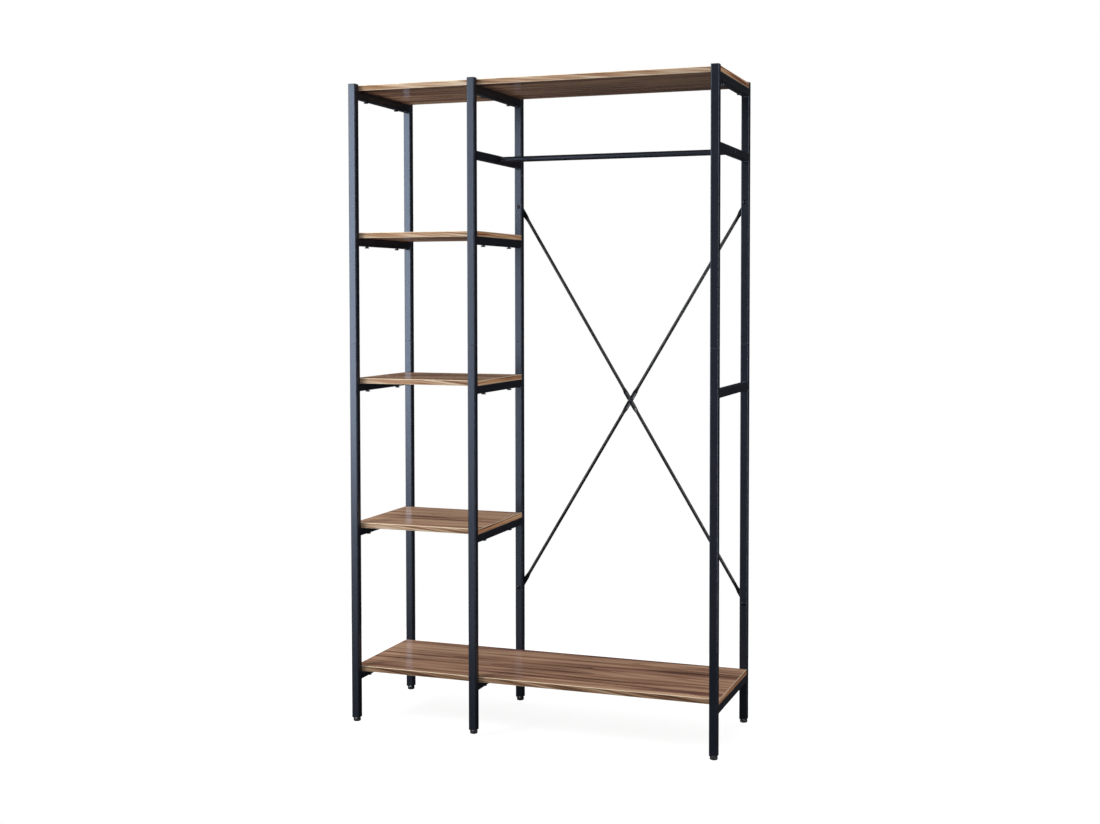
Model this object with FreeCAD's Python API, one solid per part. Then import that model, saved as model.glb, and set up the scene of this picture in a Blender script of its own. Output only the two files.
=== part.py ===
import FreeCAD, Part
import math
import os

# Open frame wardrobe: three ladder frames of square steel tube carry five wood boards, a hanging
# rod and a cross brace. Millimetres, +Z up. The origin is on the floor, under the middle of the
# bounding box. +X runs from the shelf bay to the hanging bay and +Y runs to the back.

# Overall frame
frame_width = 1060.0
frame_depth = 378.0
overall_height = 1800.0
shelf_bay_width = 338.0
seam_height = 1072.0

# Square steel tube of the posts and rails
tube_size = 22.0
tube_wall = 1.2
tube_corner = 2.5
tube_rim_chamfer = 0.7
bare_rail_rise = 4.5
sleeve_length = 90.0
sleeve_wall = 1.5
sleeve_clearance = 0.15

# Post caps
cap_thickness = 2.0
cap_edge = 0.8
cap_plug_length = 12.0
cap_plug_wall = 2.0
plug_clearance = 0.15

# Boards and the levels of their top faces
board_thickness = 15.0
board_edge = 1.6
board_side_clearance = 0.5
bottom_board_top = 155.0
shelf_space_height = 395.0
top_board_drop = 3.0

# Screws that come up through the rails into threaded inserts in the boards
shelf_screw_diameter = 6.0
shelf_screw_grip = 10.0
shelf_screw_neck_diameter = 8.0
shelf_screw_neck_height = 2.2
shelf_screw_head_diameter = 13.0
shelf_screw_head_height = 3.0
shelf_screw_head_edge = 1.2
shelf_screw_places_shares = (0.2, 0.78)
insert_diameter = 10.0
insert_length = 12.0
insert_clearance = 0.1
screw_clearance = 0.25
thread_clearance = 0.1

# Hanging rod
rod_drop = 208.0
rod_diameter = 16.0
rod_wall = 1.0
rod_plug_length = 20.0
rod_plug_clearance = 0.1
rod_screw_diameter = 6.0
rod_screw_grip = 12.0
rod_screw_head_diameter = 11.0
rod_screw_head_height = 2.5
rod_screw_head_edge = 0.8

# Cross brace of round tube, pressed flat at its ends and where the two pieces cross
brace_upper_drop = 332.0
brace_lower_height = 340.0
brace_diameter = 9.5
brace_flat_width = 13.5
brace_flat_thickness = 2.6
brace_flat_dip = 0.6
brace_end_flat = 33.0
brace_crossing_flat = 54.0
brace_taper = 14.0
brace_mid_taper_share = 0.5
brace_bolt_diameter = 6.0
brace_bolt_head_diameter = 11.5
brace_bolt_head_height = 2.8
brace_bolt_head_edge = 0.9
brace_nut_across_flats = 10.0
brace_nut_height = 5.0

# Levelling feet: a moulded pad turns on a threaded stud in a plug pressed into the post
foot_reach = 12.5
foot_flange_thickness = 1.5
foot_plug_length = 24.0
foot_pad_diameter = 21.0
foot_pad_height = 8.0
foot_pad_sole_edge = 2.6
foot_pad_top_edge = 1.2
stud_diameter = 8.0
stud_length = 30.0
stud_collar_across_flats = 11.0
stud_collar_height = 1.6
stud_spigot_diameter = 6.0
stud_spigot_length = 3.6
stud_spigot_floor = 0.4
stud_tip_chamfer = 1.0
foot_running_clearance = 0.08

# Every cut runs this far past the face that it goes through
overrun = 1.0

# Places worked out from the sizes above
rear_reach = brace_flat_thickness * 3 / 2 + brace_nut_height
left_face_x = -(frame_width + rod_screw_head_height) / 2
right_face_x = left_face_x + frame_width
front_face_y = -(frame_depth + rear_reach) / 2
rear_face_y = front_face_y + frame_depth
mid_depth_y = front_face_y + frame_depth / 2
tube_bore = tube_size - 2 * tube_wall
rail_length = frame_depth - 2 * tube_size
rail_start_y = front_face_y + tube_size
post_top = overall_height - cap_thickness
rod_height = overall_height - rod_drop
brace_upper_height = overall_height - brace_upper_drop
shelf_bay_pitch = shelf_bay_width + tube_size
shelf_pitch = shelf_space_height + board_thickness

frame_x = {
    "left": left_face_x + tube_size / 2,
    "middle": left_face_x + tube_size / 2 + shelf_bay_pitch,
    "right": right_face_x - tube_size / 2,
}
post_y = {"front": front_face_y + tube_size / 2, "rear": rear_face_y - tube_size / 2}

bottom_rail_top = bottom_board_top - board_thickness
rail_top = {
    "bottom": bottom_rail_top,
    "lower": bottom_rail_top + shelf_pitch,
    "centre": bottom_rail_top + shelf_pitch * 2,
    "upper": bottom_rail_top + shelf_pitch * 3,
    "rod": rod_height + tube_size / 2,
    "top": overall_height - top_board_drop - board_thickness,
}
frame_rails = {
    "left": ("bottom", "lower", "centre", "upper", "top"),
    "middle": ("bottom", "lower", "centre", "upper", "rod", "top"),
    "right": ("bottom", "centre", "rod", "top"),
}
bare_rail = ("right", "centre")
boards = {
    "bottom_board": ("bottom", ("left", "middle", "right")),
    "lower_shelf": ("lower", ("left", "middle")),
    "centre_shelf": ("centre", ("left", "middle")),
    "upper_shelf": ("upper", ("left", "middle")),
    "top_board": ("top", ("left", "middle", "right")),
}
board_fixings = [(frame, level) for level, frames in boards.values() for frame in frames]
screw_places_y = [rail_start_y + rail_length * share for share in shelf_screw_places_shares]

along_x = FreeCAD.Vector(1, 0, 0)
along_y = FreeCAD.Vector(0, 1, 0)
along_z = FreeCAD.Vector(0, 0, 1)


def at(x, y, z):
    """Point with the given coordinates."""
    return FreeCAD.Vector(x, y, z)


def turned(shape, start, end):
    """Shape turned so that direction start points along end."""
    placed = shape.copy()
    placed.Placement = FreeCAD.Placement(at(0, 0, 0), FreeCAD.Rotation(start, end))
    return placed


def export(name, *solids):
    """Write one node, a single solid or a group of like solids."""
    shape = solids[0] if len(solids) == 1 else Part.makeCompound(list(solids))
    shape.exportStep("parts/" + name + ".step")


def upright_edges(shape):
    """Straight edges that run along Z."""
    found = []
    for edge in shape.Edges:
        run = edge.lastVertex().Point - edge.firstVertex().Point
        if run.Length > 0 and run.cross(along_z).Length < run.Length / 1000:
            found.append(edge)
    return found


def edges_at_height(shape, height):
    """Edges that lie in the level plane at the given height."""
    near = tube_wall / 1000
    return [e for e in shape.Edges if all(abs(v.Z - height) < near for v in e.Vertexes)]


def square_bar(size, corner, length):
    """Square bar standing on the XY plane along +Z, with rounded upright corners."""
    bar = Part.makeBox(size, size, length, at(-size / 2, -size / 2, 0))
    if corner > 0:
        bar = bar.makeFillet(min(corner, size / 4), upright_edges(bar))
    return bar


def square_tube(size, wall, corner, length, rim_height=None):
    """Square tube standing on the XY plane along +Z, open at both ends.

    Where a rim height is given, the outer edges of the end at that height are chamfered.
    """
    outer = square_bar(size, corner, length)
    if rim_height is not None:
        chamfer = min(tube_rim_chamfer, wall * 3 / 4)
        outer = outer.makeChamfer(chamfer, edges_at_height(outer, rim_height))
    bore = square_bar(size - 2 * wall, corner - wall, length + 2 * overrun)
    bore.translate(at(0, 0, -overrun))
    return outer.cut(bore)


def hex_bar(across_flats, height):
    """Hexagonal bar standing on the XY plane along +Z."""
    radius = across_flats / math.sqrt(3)
    turns = [math.pi / 3 * k for k in range(6)]
    corners = [at(radius * math.cos(a), radius * math.sin(a), 0) for a in turns]
    return Part.Face(Part.makePolygon(corners + corners[:1])).extrude(along_z * height)


def revolved(profile):
    """Solid of revolution about Z from (radius, height) points of a closed profile."""
    points = [at(radius, 0, height) for radius, height in profile]
    face = Part.Face(Part.makePolygon(points + points[:1]))
    return face.revolve(at(0, 0, 0), along_z, 360)


def headed_screw(diameter, reach, head_diameter, head_height, head_edge):
    """Screw along +Z whose head sits under the XY plane and whose shank reaches above it."""
    return revolved((
        (0, -head_height),
        (head_diameter / 2 - head_edge, -head_height),
        (head_diameter / 2, -head_height + head_edge),
        (head_diameter / 2, 0),
        (diameter / 2, 0),
        (diameter / 2, reach),
        (0, reach),
    ))


def build_post(frame, side, section):
    """One length of post, chamfered at the seam and drilled for the brace where it has one."""
    foot = foot_reach if section == "lower" else seam_height
    head = seam_height if section == "lower" else post_top
    post = square_tube(tube_size, tube_wall, tube_corner, head - foot, seam_height - foot)
    post.translate(at(frame_x[frame], post_y[side], foot))
    if side == "rear" and frame != "left":
        height = brace_lower_height if section == "lower" else brace_upper_height
        start = at(frame_x[frame], rear_face_y - tube_size - overrun, height)
        radius = brace_bolt_diameter / 2 + screw_clearance
        post = post.cut(Part.makeCylinder(radius, tube_size + 2 * overrun, start, along_y))
    return post


def build_rail(frame, level):
    """Rail between a front and a rear post, drilled for shelf screws or for the rod's screw."""
    rail = turned(square_tube(tube_size, tube_wall, tube_corner, rail_length), along_z, along_y)
    middle_z = rail_top[level] - tube_size / 2
    if (frame, level) == bare_rail:
        middle_z = middle_z + bare_rail_rise
    rail.translate(at(frame_x[frame], rail_start_y, middle_z))
    through = tube_size + 2 * overrun
    if (frame, level) in board_fixings:
        radius = shelf_screw_diameter / 2 + screw_clearance
        for place_y in screw_places_y:
            start = at(frame_x[frame], place_y, rail_top[level] - tube_size - overrun)
            rail = rail.cut(Part.makeCylinder(radius, through, start, along_z))
    if level == "rod":
        radius = rod_screw_diameter / 2 + screw_clearance
        start = at(frame_x[frame] - tube_size / 2 - overrun, mid_depth_y, middle_z)
        rail = rail.cut(Part.makeCylinder(radius, through, start, along_x))
    return rail


def build_board(level, frames):
    """Board on the rails of one level, with softened edges and blind holes for its inserts."""
    start_x = frame_x[frames[0]] - tube_size / 2
    length = frame_x[frames[-1]] + tube_size / 2 - start_x
    depth = rail_length - 2 * board_side_clearance
    corner = at(start_x, rail_start_y + board_side_clearance, rail_top[level])
    board = Part.makeBox(length, depth, board_thickness, corner)
    board = board.makeFillet(min(board_edge, board_thickness / 4), board.Edges)
    radius = insert_diameter / 2 + insert_clearance
    for frame in frames:
        for place_y in screw_places_y:
            start = at(frame_x[frame], place_y, rail_top[level] - overrun)
            hole = Part.makeCylinder(radius, insert_length + overrun, start, along_z)
            board = board.cut(hole)
    return board


def build_insert(frame, level, place_y):
    """Threaded insert, flush with the underside of its board."""
    radius = shelf_screw_diameter / 2 + thread_clearance
    insert = Part.makeCylinder(insert_diameter / 2, insert_length)
    insert = insert.cut(Part.makeCylinder(radius, insert_length))
    insert.translate(at(frame_x[frame], place_y, rail_top[level]))
    return insert


def build_shelf_screw(frame, level, place_y):
    """Screw from under a rail into the board above it: a broad head, a neck on the rail, a shank."""
    neck_radius = shelf_screw_neck_diameter / 2
    head_radius = shelf_screw_head_diameter / 2
    head_top = -shelf_screw_neck_height
    head_bottom = head_top - shelf_screw_head_height
    reach = tube_size + shelf_screw_grip
    screw = revolved((
        (0, head_bottom),
        (head_radius - shelf_screw_head_edge, head_bottom),
        (head_radius, head_bottom + shelf_screw_head_edge),
        (head_radius, head_top),
        (neck_radius, head_top),
        (neck_radius, 0),
        (shelf_screw_diameter / 2, 0),
        (shelf_screw_diameter / 2, reach),
        (0, reach),
    ))
    screw.translate(at(frame_x[frame], place_y, rail_top[level] - tube_size))
    return screw


def build_sleeve(frame, side):
    """Square tube inside a post that joins its lower and upper lengths."""
    size = tube_bore - 2 * sleeve_clearance
    corner = tube_corner - tube_wall
    sleeve = square_tube(size, sleeve_wall, corner, sleeve_length)
    sleeve.translate(at(frame_x[frame], post_y[side], seam_height - sleeve_length / 2))
    return sleeve


def build_cap(frame, side):
    """Post cap: a plate with softened edges over a hollow square plug."""
    plate = square_bar(tube_size, tube_corner, cap_thickness)
    plate = plate.makeFillet(min(cap_edge, cap_thickness / 2), edges_at_height(plate, cap_thickness))
    size = tube_bore - 2 * plug_clearance
    plug = square_tube(size, cap_plug_wall, tube_corner - tube_wall, cap_plug_length)
    plug.translate(at(0, 0, -cap_plug_length))
    cap = plate.fuse(plug).removeSplitter()
    cap.translate(at(frame_x[frame], post_y[side], post_top))
    return cap


def build_foot_plug(frame, side):
    """Plug in the foot of a post: a flange under the tube and a bore for the stud."""
    flange = square_bar(tube_size, tube_corner, foot_flange_thickness)
    flange.translate(at(0, 0, -foot_flange_thickness))
    size = tube_bore - 2 * plug_clearance
    body = square_bar(size, tube_corner - tube_wall, foot_plug_length)
    radius = stud_diameter / 2 + foot_running_clearance
    drilled = foot_plug_length + foot_flange_thickness + 2 * overrun
    bore = Part.makeCylinder(radius, drilled, at(0, 0, -foot_flange_thickness - overrun))
    plug = flange.fuse(body).removeSplitter().cut(bore)
    plug.translate(at(frame_x[frame], post_y[side], foot_reach))
    return plug


def build_foot_pad(frame, side):
    """Round pad that stands on the floor, with a socket for the stud's spigot."""
    pad = Part.makeCylinder(foot_pad_diameter / 2, foot_pad_height)
    pad = pad.makeFillet(foot_pad_sole_edge, edges_at_height(pad, 0))
    pad = pad.makeFillet(foot_pad_top_edge, edges_at_height(pad, foot_pad_height))
    radius = stud_spigot_diameter / 2 + foot_running_clearance
    floor = foot_pad_height - stud_spigot_length - stud_spigot_floor
    pad = pad.cut(Part.makeCylinder(radius, foot_pad_height, at(0, 0, floor)))
    pad.translate(at(frame_x[frame], post_y[side], 0))
    return pad


def build_foot_stud(frame, side):
    """Threaded stud: a spigot in the pad, a hexagonal collar on it and a shank up into the plug."""
    collar_top = foot_pad_height + stud_collar_height
    tip = collar_top + stud_length
    shank = stud_diameter / 2
    spigot = Part.makeCylinder(
        stud_spigot_diameter / 2, stud_spigot_length, at(0, 0, foot_pad_height - stud_spigot_length)
    )
    collar = hex_bar(stud_collar_across_flats, stud_collar_height)
    collar.translate(at(0, 0, foot_pad_height))
    threaded = revolved((
        (0, collar_top),
        (shank, collar_top),
        (shank, tip - stud_tip_chamfer),
        (shank - stud_tip_chamfer, tip),
        (0, tip),
    ))
    stud = spigot.fuse([collar, threaded]).removeSplitter()
    stud.translate(at(frame_x[frame], post_y[side], 0))
    return stud


def rod_ends():
    """Where the rod meets its two rails: (frame, face of the rail, direction into the rod)."""
    return (
        ("middle", frame_x["middle"] + tube_size / 2, along_x),
        ("right", frame_x["right"] - tube_size / 2, -along_x),
    )


def build_rod():
    """Hanging rod, a round tube between the two rod rails."""
    (_, start_x, _), (_, end_x, _) = rod_ends()
    start = at(start_x, mid_depth_y, rod_height)
    length = end_x - start_x
    bore = Part.makeCylinder(rod_diameter / 2 - rod_wall, length, start, along_x)
    return Part.makeCylinder(rod_diameter / 2, length, start, along_x).cut(bore)


def build_rod_plug(face_x, inward):
    """Plug in one end of the rod, drilled for the rod's screw."""
    radius = rod_diameter / 2 - rod_wall - rod_plug_clearance
    start = at(face_x, mid_depth_y, rod_height)
    bore = rod_screw_diameter / 2 + thread_clearance
    plug = Part.makeCylinder(radius, rod_plug_length, start, inward)
    return plug.cut(Part.makeCylinder(bore, rod_plug_length, start, inward))


def build_rod_screw(face_x, inward):
    """Screw through a rod rail into the plug, with its head on the rail's far face."""
    reach = tube_size + rod_screw_grip
    screw = headed_screw(
        rod_screw_diameter, reach, rod_screw_head_diameter, rod_screw_head_height, rod_screw_head_edge
    )
    screw = turned(screw, along_z, inward)
    screw.translate(at(face_x, mid_depth_y, rod_height) - inward * tube_size)
    return screw


def brace_section(along, width, thickness, dip, offset):
    """Outline of the brace across its length: two long sides joined by two round sides.

    A round section has its corners at an eighth of a turn. A pressed one has rolled edges, and its
    long sides dip between them.
    """
    half_width = width / 2
    half_thickness = thickness / 2
    is_round = width <= thickness
    corner_y = half_thickness * math.sqrt(0.5) if is_round else half_thickness
    corner_z = half_width * math.sqrt(0.5) if is_round else half_width - half_thickness

    def point(y, z):
        return at(along, offset + y, z)

    corners = [
        point(-corner_y, -corner_z), point(-corner_y, corner_z),
        point(corner_y, corner_z), point(corner_y, -corner_z),
    ]
    crowns = [
        point(dip - half_thickness, 0), point(0, half_width),
        point(half_thickness - dip, 0), point(0, -half_width),
    ]
    edges = []
    for k in range(4):
        edges.append(Part.Arc(corners[k], crowns[k], corners[(k + 1) % 4]).toShape())
    return Part.Wire(edges)


def brace_half_sections(half_length, offset):
    """Sections of half a brace, from its middle to its tip.

    Across each taper the tube goes from flat to round through one section between the two.
    """
    def between(flat, round_size):
        return flat + (round_size - flat) * brace_mid_taper_share

    mid_width = between(brace_flat_width, brace_diameter)
    mid_thickness = between(brace_flat_thickness, brace_diameter)
    mid_dip = between(brace_flat_dip, 0)
    pressed = (brace_flat_width, brace_flat_thickness, brace_flat_dip)
    half_pressed = (mid_width, mid_thickness, mid_dip)
    unpressed = (brace_diameter, brace_diameter, 0)
    crossing = brace_crossing_flat / 2
    end_flat = half_length - brace_end_flat
    tip = half_length + brace_flat_width / 2
    mid_taper = brace_taper * brace_mid_taper_share
    return (
        (crossing, *pressed, offset),
        (crossing + mid_taper, *half_pressed, between(offset, 0)),
        (crossing + brace_taper, *unpressed, 0),
        (end_flat - brace_taper, *unpressed, 0),
        (end_flat - mid_taper, *half_pressed, 0),
        (end_flat, *pressed, 0),
        (tip, *pressed, 0),
    )


def brace_outline(half_length):
    """Prism with round ends that the flat tips of a brace are trimmed to."""
    radius = brace_flat_width / 2
    thickness = brace_diameter + 2 * overrun
    slab = Part.makeBox(
        2 * half_length, thickness, brace_flat_width, at(-half_length, -thickness / 2, -radius)
    )
    ends = [
        Part.makeCylinder(radius, thickness, at(x, -thickness / 2, 0), along_y)
        for x in (-half_length, half_length)
    ]
    return slab.fuse(ends).removeSplitter()


def build_brace(rises, offset):
    """One brace from post to post, its crossing flat set off so that the two lie face to face."""
    span_x = frame_x["right"] - frame_x["middle"]
    span_z = brace_upper_height - brace_lower_height
    half_length = math.hypot(span_x, span_z) / 2
    half = brace_half_sections(half_length, offset)
    mirrored = [(-along, *rest) for along, *rest in reversed(half)]
    sections = [brace_section(*values) for values in (*mirrored, *half)]
    brace = Part.makeLoft(sections, True, True).common(brace_outline(half_length))
    radius = brace_bolt_diameter / 2 + screw_clearance
    thickness = brace_diameter + 2 * overrun
    for along in (-half_length, 0, half_length):
        start = at(along, -thickness / 2, 0)
        brace = brace.cut(Part.makeCylinder(radius, thickness, start, along_y))
    direction = at(span_x, 0, span_z if rises else -span_z)
    brace = turned(brace, along_x, direction)
    brace.translate(brace_crossing())
    return brace.Solids[0]


def brace_crossing():
    """Point on the braces' axes where the two cross."""
    x = (frame_x["middle"] + frame_x["right"]) / 2
    z = (brace_upper_height + brace_lower_height) / 2
    return at(x, rear_face_y + brace_flat_thickness / 2, z)


def brace_bolt(seat, grip):
    """Bolt along +Y with its head in front of the seat, through the grip and its nut."""
    bolt = headed_screw(
        brace_bolt_diameter, grip + brace_nut_height,
        brace_bolt_head_diameter, brace_bolt_head_height, brace_bolt_head_edge,
    )
    bolt = turned(bolt, along_z, along_y)
    bolt.translate(seat)
    return bolt


def brace_nut(seat):
    """Hexagonal nut whose front face is at the seat."""
    radius = brace_bolt_diameter / 2 + thread_clearance
    nut = hex_bar(brace_nut_across_flats, brace_nut_height)
    nut = turned(nut.cut(Part.makeCylinder(radius, brace_nut_height)), along_z, along_y)
    nut.translate(seat)
    return nut


def brace_end_places():
    """Points on the rear posts' rear faces where the braces are bolted."""
    heights = (brace_lower_height, brace_upper_height)
    return [at(frame_x[f], rear_face_y, z) for f in ("middle", "right") for z in heights]


def export_frames():
    """Posts, rails, sleeves and caps of the three ladder frames."""
    corners = [(frame, side) for frame in frame_x for side in post_y]
    for frame, side in corners:
        for section in ("lower", "upper"):
            export(f"{frame}_{side}_{section}_post", build_post(frame, side, section))
    for frame, levels in frame_rails.items():
        for level in levels:
            export(f"{frame}_{level}_rail", build_rail(frame, level))
    export("post_sleeves", *[build_sleeve(*corner) for corner in corners])
    export("post_caps", *[build_cap(*corner) for corner in corners])


def export_boards():
    """Boards with their inserts and screws."""
    for name, (level, frames) in boards.items():
        export(name, build_board(level, frames))
    places = [(frame, level, y) for frame, level in board_fixings for y in screw_places_y]
    export("board_inserts", *[build_insert(*place) for place in places])
    export("shelf_screws", *[build_shelf_screw(*place) for place in places])


def export_rod():
    """Hanging rod with its plugs and screws."""
    ends = [(face_x, inward) for _, face_x, inward in rod_ends()]
    export("hanging_rod", build_rod())
    export("rod_end_plugs", *[build_rod_plug(*end) for end in ends])
    export("rod_screws", *[build_rod_screw(*end) for end in ends])


def export_braces():
    """Cross brace with its bolts and nuts. The falling brace lies in front at the crossing."""
    flat = brace_flat_thickness
    export("falling_brace", build_brace(False, -flat / 2))
    export("rising_brace", build_brace(True, flat / 2))
    crossing = brace_crossing()
    export("brace_centre_bolt", brace_bolt(crossing - along_y * flat, 2 * flat))
    export("brace_centre_nut", brace_nut(crossing + along_y * flat))
    ends = brace_end_places()
    bolts = [brace_bolt(end - along_y * tube_size, tube_size + flat) for end in ends]
    export("brace_end_bolts", *bolts)
    export("brace_end_nuts", *[brace_nut(end + along_y * flat) for end in ends])


def export_feet():
    """Levelling feet under the six posts, and the plugs that they screw into."""
    corners = [(frame, side) for frame in frame_x for side in post_y]
    export("foot_plugs", *[build_foot_plug(*corner) for corner in corners])
    for frame, side in corners:
        export(f"{frame}_{side}_foot_pad", build_foot_pad(frame, side))
        export(f"{frame}_{side}_foot_stud", build_foot_stud(frame, side))


os.makedirs("parts", exist_ok=True)
export_frames()
export_boards()
export_rod()
export_braces()
export_feet()
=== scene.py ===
"""Open frame wardrobe: finishes, fasteners, welds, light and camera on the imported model."""

import logging
import math
from dataclasses import dataclass, field
from enum import Enum

import bpy
import numpy as np
from mathutils import Matrix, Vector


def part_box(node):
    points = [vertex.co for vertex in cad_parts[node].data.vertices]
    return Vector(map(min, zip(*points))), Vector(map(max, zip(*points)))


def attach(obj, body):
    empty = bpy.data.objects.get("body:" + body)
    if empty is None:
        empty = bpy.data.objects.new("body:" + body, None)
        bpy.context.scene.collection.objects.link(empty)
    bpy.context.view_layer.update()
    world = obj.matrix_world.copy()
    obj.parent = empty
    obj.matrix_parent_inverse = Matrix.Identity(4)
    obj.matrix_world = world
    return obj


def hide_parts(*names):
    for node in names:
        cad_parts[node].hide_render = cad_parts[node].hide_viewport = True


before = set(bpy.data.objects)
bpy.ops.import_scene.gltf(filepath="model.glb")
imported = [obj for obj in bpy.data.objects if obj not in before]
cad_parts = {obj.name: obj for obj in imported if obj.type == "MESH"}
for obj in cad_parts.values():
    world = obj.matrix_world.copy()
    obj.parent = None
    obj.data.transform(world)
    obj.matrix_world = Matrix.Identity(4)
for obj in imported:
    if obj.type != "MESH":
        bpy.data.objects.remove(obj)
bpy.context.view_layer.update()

log = logging.getLogger("open_frame_wardrobe")

Pair = tuple[float, float]
Triple = tuple[float, float, float]
Stops = tuple[tuple[float, str], ...]
Shape = tuple[np.ndarray, list[list[int]]]

MM = 0.001
WHITE = (1.0, 1.0, 1.0, 1.0)
# Faces that meet at less than this many degrees are shaded as one smooth surface.
SMOOTH_BELOW = 38.0
# Numbers of the Mix node's sockets for each kind of data: the two inputs and the output.
FLOAT_A, FLOAT_B, FLOAT_OUT = 2, 3, 0
VECTOR_A, VECTOR_B, VECTOR_OUT = 4, 5, 1
COLOUR_A, COLOUR_B, COLOUR_OUT = 6, 7, 2


class Slot(Enum):
    """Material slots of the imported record."""

    POWDER_COAT = "powder_coat"
    WALNUT_BOARD = "walnut_board"
    BLACK_PLASTIC = "black_plastic"
    BARE_STEEL = "bare_steel"
    BLACK_OXIDE_STEEL = "black_oxide_steel"


class Facing(Enum):
    """Directions that a fastener's head can face.

    Each value holds the rows of a right-handed basis whose third row is the axis.
    """

    UP = ((1, 0, 0), (0, 1, 0), (0, 0, 1))
    DOWN = ((1, 0, 0), (0, -1, 0), (0, 0, -1))
    FRONT = ((1, 0, 0), (0, 0, 1), (0, -1, 0))
    REAR = ((1, 0, 0), (0, 0, -1), (0, 1, 0))
    LEFT = ((0, 1, 0), (0, 0, -1), (-1, 0, 0))
    RIGHT = ((0, 1, 0), (0, 0, 1), (1, 0, 0))


def linear(colour: str) -> tuple[float, float, float, float]:
    """Turn an sRGB hex colour to linear red, green, blue and alpha.

    Args:
        colour: Six hex digits after a hash.

    Returns:
        The linear colour, with alpha 1.
    """
    levels = np.array([int(colour[i:i + 2], 16) for i in (1, 3, 5)]) / 255.0
    low = levels / 12.92
    high = ((levels + 0.055) / 1.055) ** 2.4
    return (*np.where(levels <= 0.04045, low, high).tolist(), 1.0)


def per_mm(size: float) -> float:
    """Return the scale per metre of a pattern whose features are this many millimetres across."""
    return 1.0 / (size * MM)


def add_node(tree: bpy.types.NodeTree, kind: str, inputs: dict | None = None,
             **settings) -> bpy.types.Node:
    """Add one node with its settings, and set or link its inputs.

    Args:
        tree: Node tree that gets the node.
        kind: Blender's name for the kind of node.
        inputs: Values or output sockets, by the name or number of the input.
        settings: Properties of the node itself.

    Returns:
        The new node.
    """
    node = tree.nodes.new(kind)
    for name, value in settings.items():
        setattr(node, name, value)
    for key, value in (inputs or {}).items():
        if isinstance(value, bpy.types.NodeSocket):
            tree.links.new(value, node.inputs[key])
        else:
            node.inputs[key].default_value = value
    return node


def set_ramp(node: bpy.types.Node, stops: Stops) -> bpy.types.NodeSocket:
    """Give a colour ramp its stops.

    Args:
        node: Colour ramp node.
        stops: Places from 0 to 1, each with its sRGB hex colour.

    Returns:
        The ramp's colour.
    """
    ramp = node.color_ramp
    while len(ramp.elements) < len(stops):
        ramp.elements.new(0.5)
    for element, (place, colour) in zip(ramp.elements, stops):
        element.position = place
        element.color = linear(colour)
    return node.outputs["Color"]


def new_material(name: str) -> tuple[bpy.types.Material, bpy.types.NodeTree]:
    """Start a material with an empty node tree.

    Args:
        name: Name of the finish.

    Returns:
        The material and its node tree.
    """
    material = bpy.data.materials.new(name)
    material.use_nodes = True
    material.node_tree.nodes.clear()
    return material, material.node_tree


def shade(tree: bpy.types.NodeTree, inputs: dict) -> None:
    """End a material with a Principled shader and its output.

    Args:
        tree: Node tree of the material.
        inputs: Values or output sockets, by the name of the shader's input.
    """
    shader = add_node(tree, "ShaderNodeBsdfPrincipled", inputs)
    add_node(tree, "ShaderNodeOutputMaterial", {"Surface": shader.outputs[0]})


@dataclass(frozen=True)
class PowderCoat:
    """Polyester powder coat, sprayed on welded tube and baked.

    It looks satin and blue-black, with slow clouds and a faint orange peel.
    """

    name: str = "powder_coated_steel"
    deep: str = "#191a22"
    worn: str = "#1f2029"
    sheen: str = "#bfd2ee"
    gloss_level: float = 0.45
    roughness: Pair = (0.28, 0.3)
    # Width of the clouds, octaves of finer noise, and the noise at which the coat is deep and worn.
    cloud: float = 90.0
    cloud_detail: float = 3.0
    cloud_span: Pair = (0.35, 0.65)
    # The real peel is about 1.5 mm across, drawn at 4 mm so that it shows in the render.
    peel: float = 4.0
    peel_detail: float = 2.0
    peel_span: Pair = (0.3, 0.7)
    peel_depth: float = 0.002
    peel_strength: float = 0.5
    # The posts' seam gets a thin pale line, a painted highlight for the light that its chamfer
    # catches:
    # the height of the seam, half the line's width and its colour.
    seam: float = 1072.0
    seam_half: float = 1.6
    seam_highlight_colour: str = "#363940"

    def build(self) -> bpy.types.Material:
        """Make it clouded, with the peel in its bump and gloss, and a painted highlight along the
        seam.

        Returns:
            The material.
        """
        material, tree = new_material(self.name)
        place = add_node(tree, "ShaderNodeTexCoord").outputs["Object"]
        cloud = add_node(tree, "ShaderNodeTexNoise", {
            "Vector": place, "Scale": per_mm(self.cloud), "Detail": self.cloud_detail})
        peel = add_node(tree, "ShaderNodeTexNoise", {
            "Vector": place, "Scale": per_mm(self.peel), "Detail": self.peel_detail})
        ramp = add_node(tree, "ShaderNodeValToRGB", {"Fac": cloud.outputs["Fac"]})
        colour = set_ramp(ramp, tuple(zip(self.cloud_span, (self.deep, self.worn))))
        gloss = add_node(tree, "ShaderNodeMapRange", {
            "Value": peel.outputs["Fac"],
            "From Min": self.peel_span[0], "From Max": self.peel_span[1],
            "To Min": self.roughness[0], "To Max": self.roughness[1]})
        bump = add_node(tree, "ShaderNodeBump", {
            "Height": peel.outputs["Fac"], "Strength": self.peel_strength,
            "Distance": self.peel_depth * MM})
        height = add_node(tree, "ShaderNodeSeparateXYZ", {"Vector": place}).outputs["Z"]
        at_seam = add_node(tree, "ShaderNodeMath", {
            0: height, 1: self.seam * MM, 2: self.seam_half * MM}, operation="COMPARE")
        # Painted highlight: the seam's line takes a paler colour, for the light that its chamfer
        # catches.
        seam_highlighted = add_node(tree, "ShaderNodeMix", {
            "Factor": at_seam.outputs[0], COLOUR_A: colour, COLOUR_B: linear(self.seam_highlight_colour)},
            data_type="RGBA")
        shade(tree, {
            "Base Color": seam_highlighted.outputs[COLOUR_OUT], "Roughness": gloss.outputs["Result"],
            "Normal": bump.outputs["Normal"], "Specular IOR Level": self.gloss_level,
            "Specular Tint": linear(self.sheen)})
        return material


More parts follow.
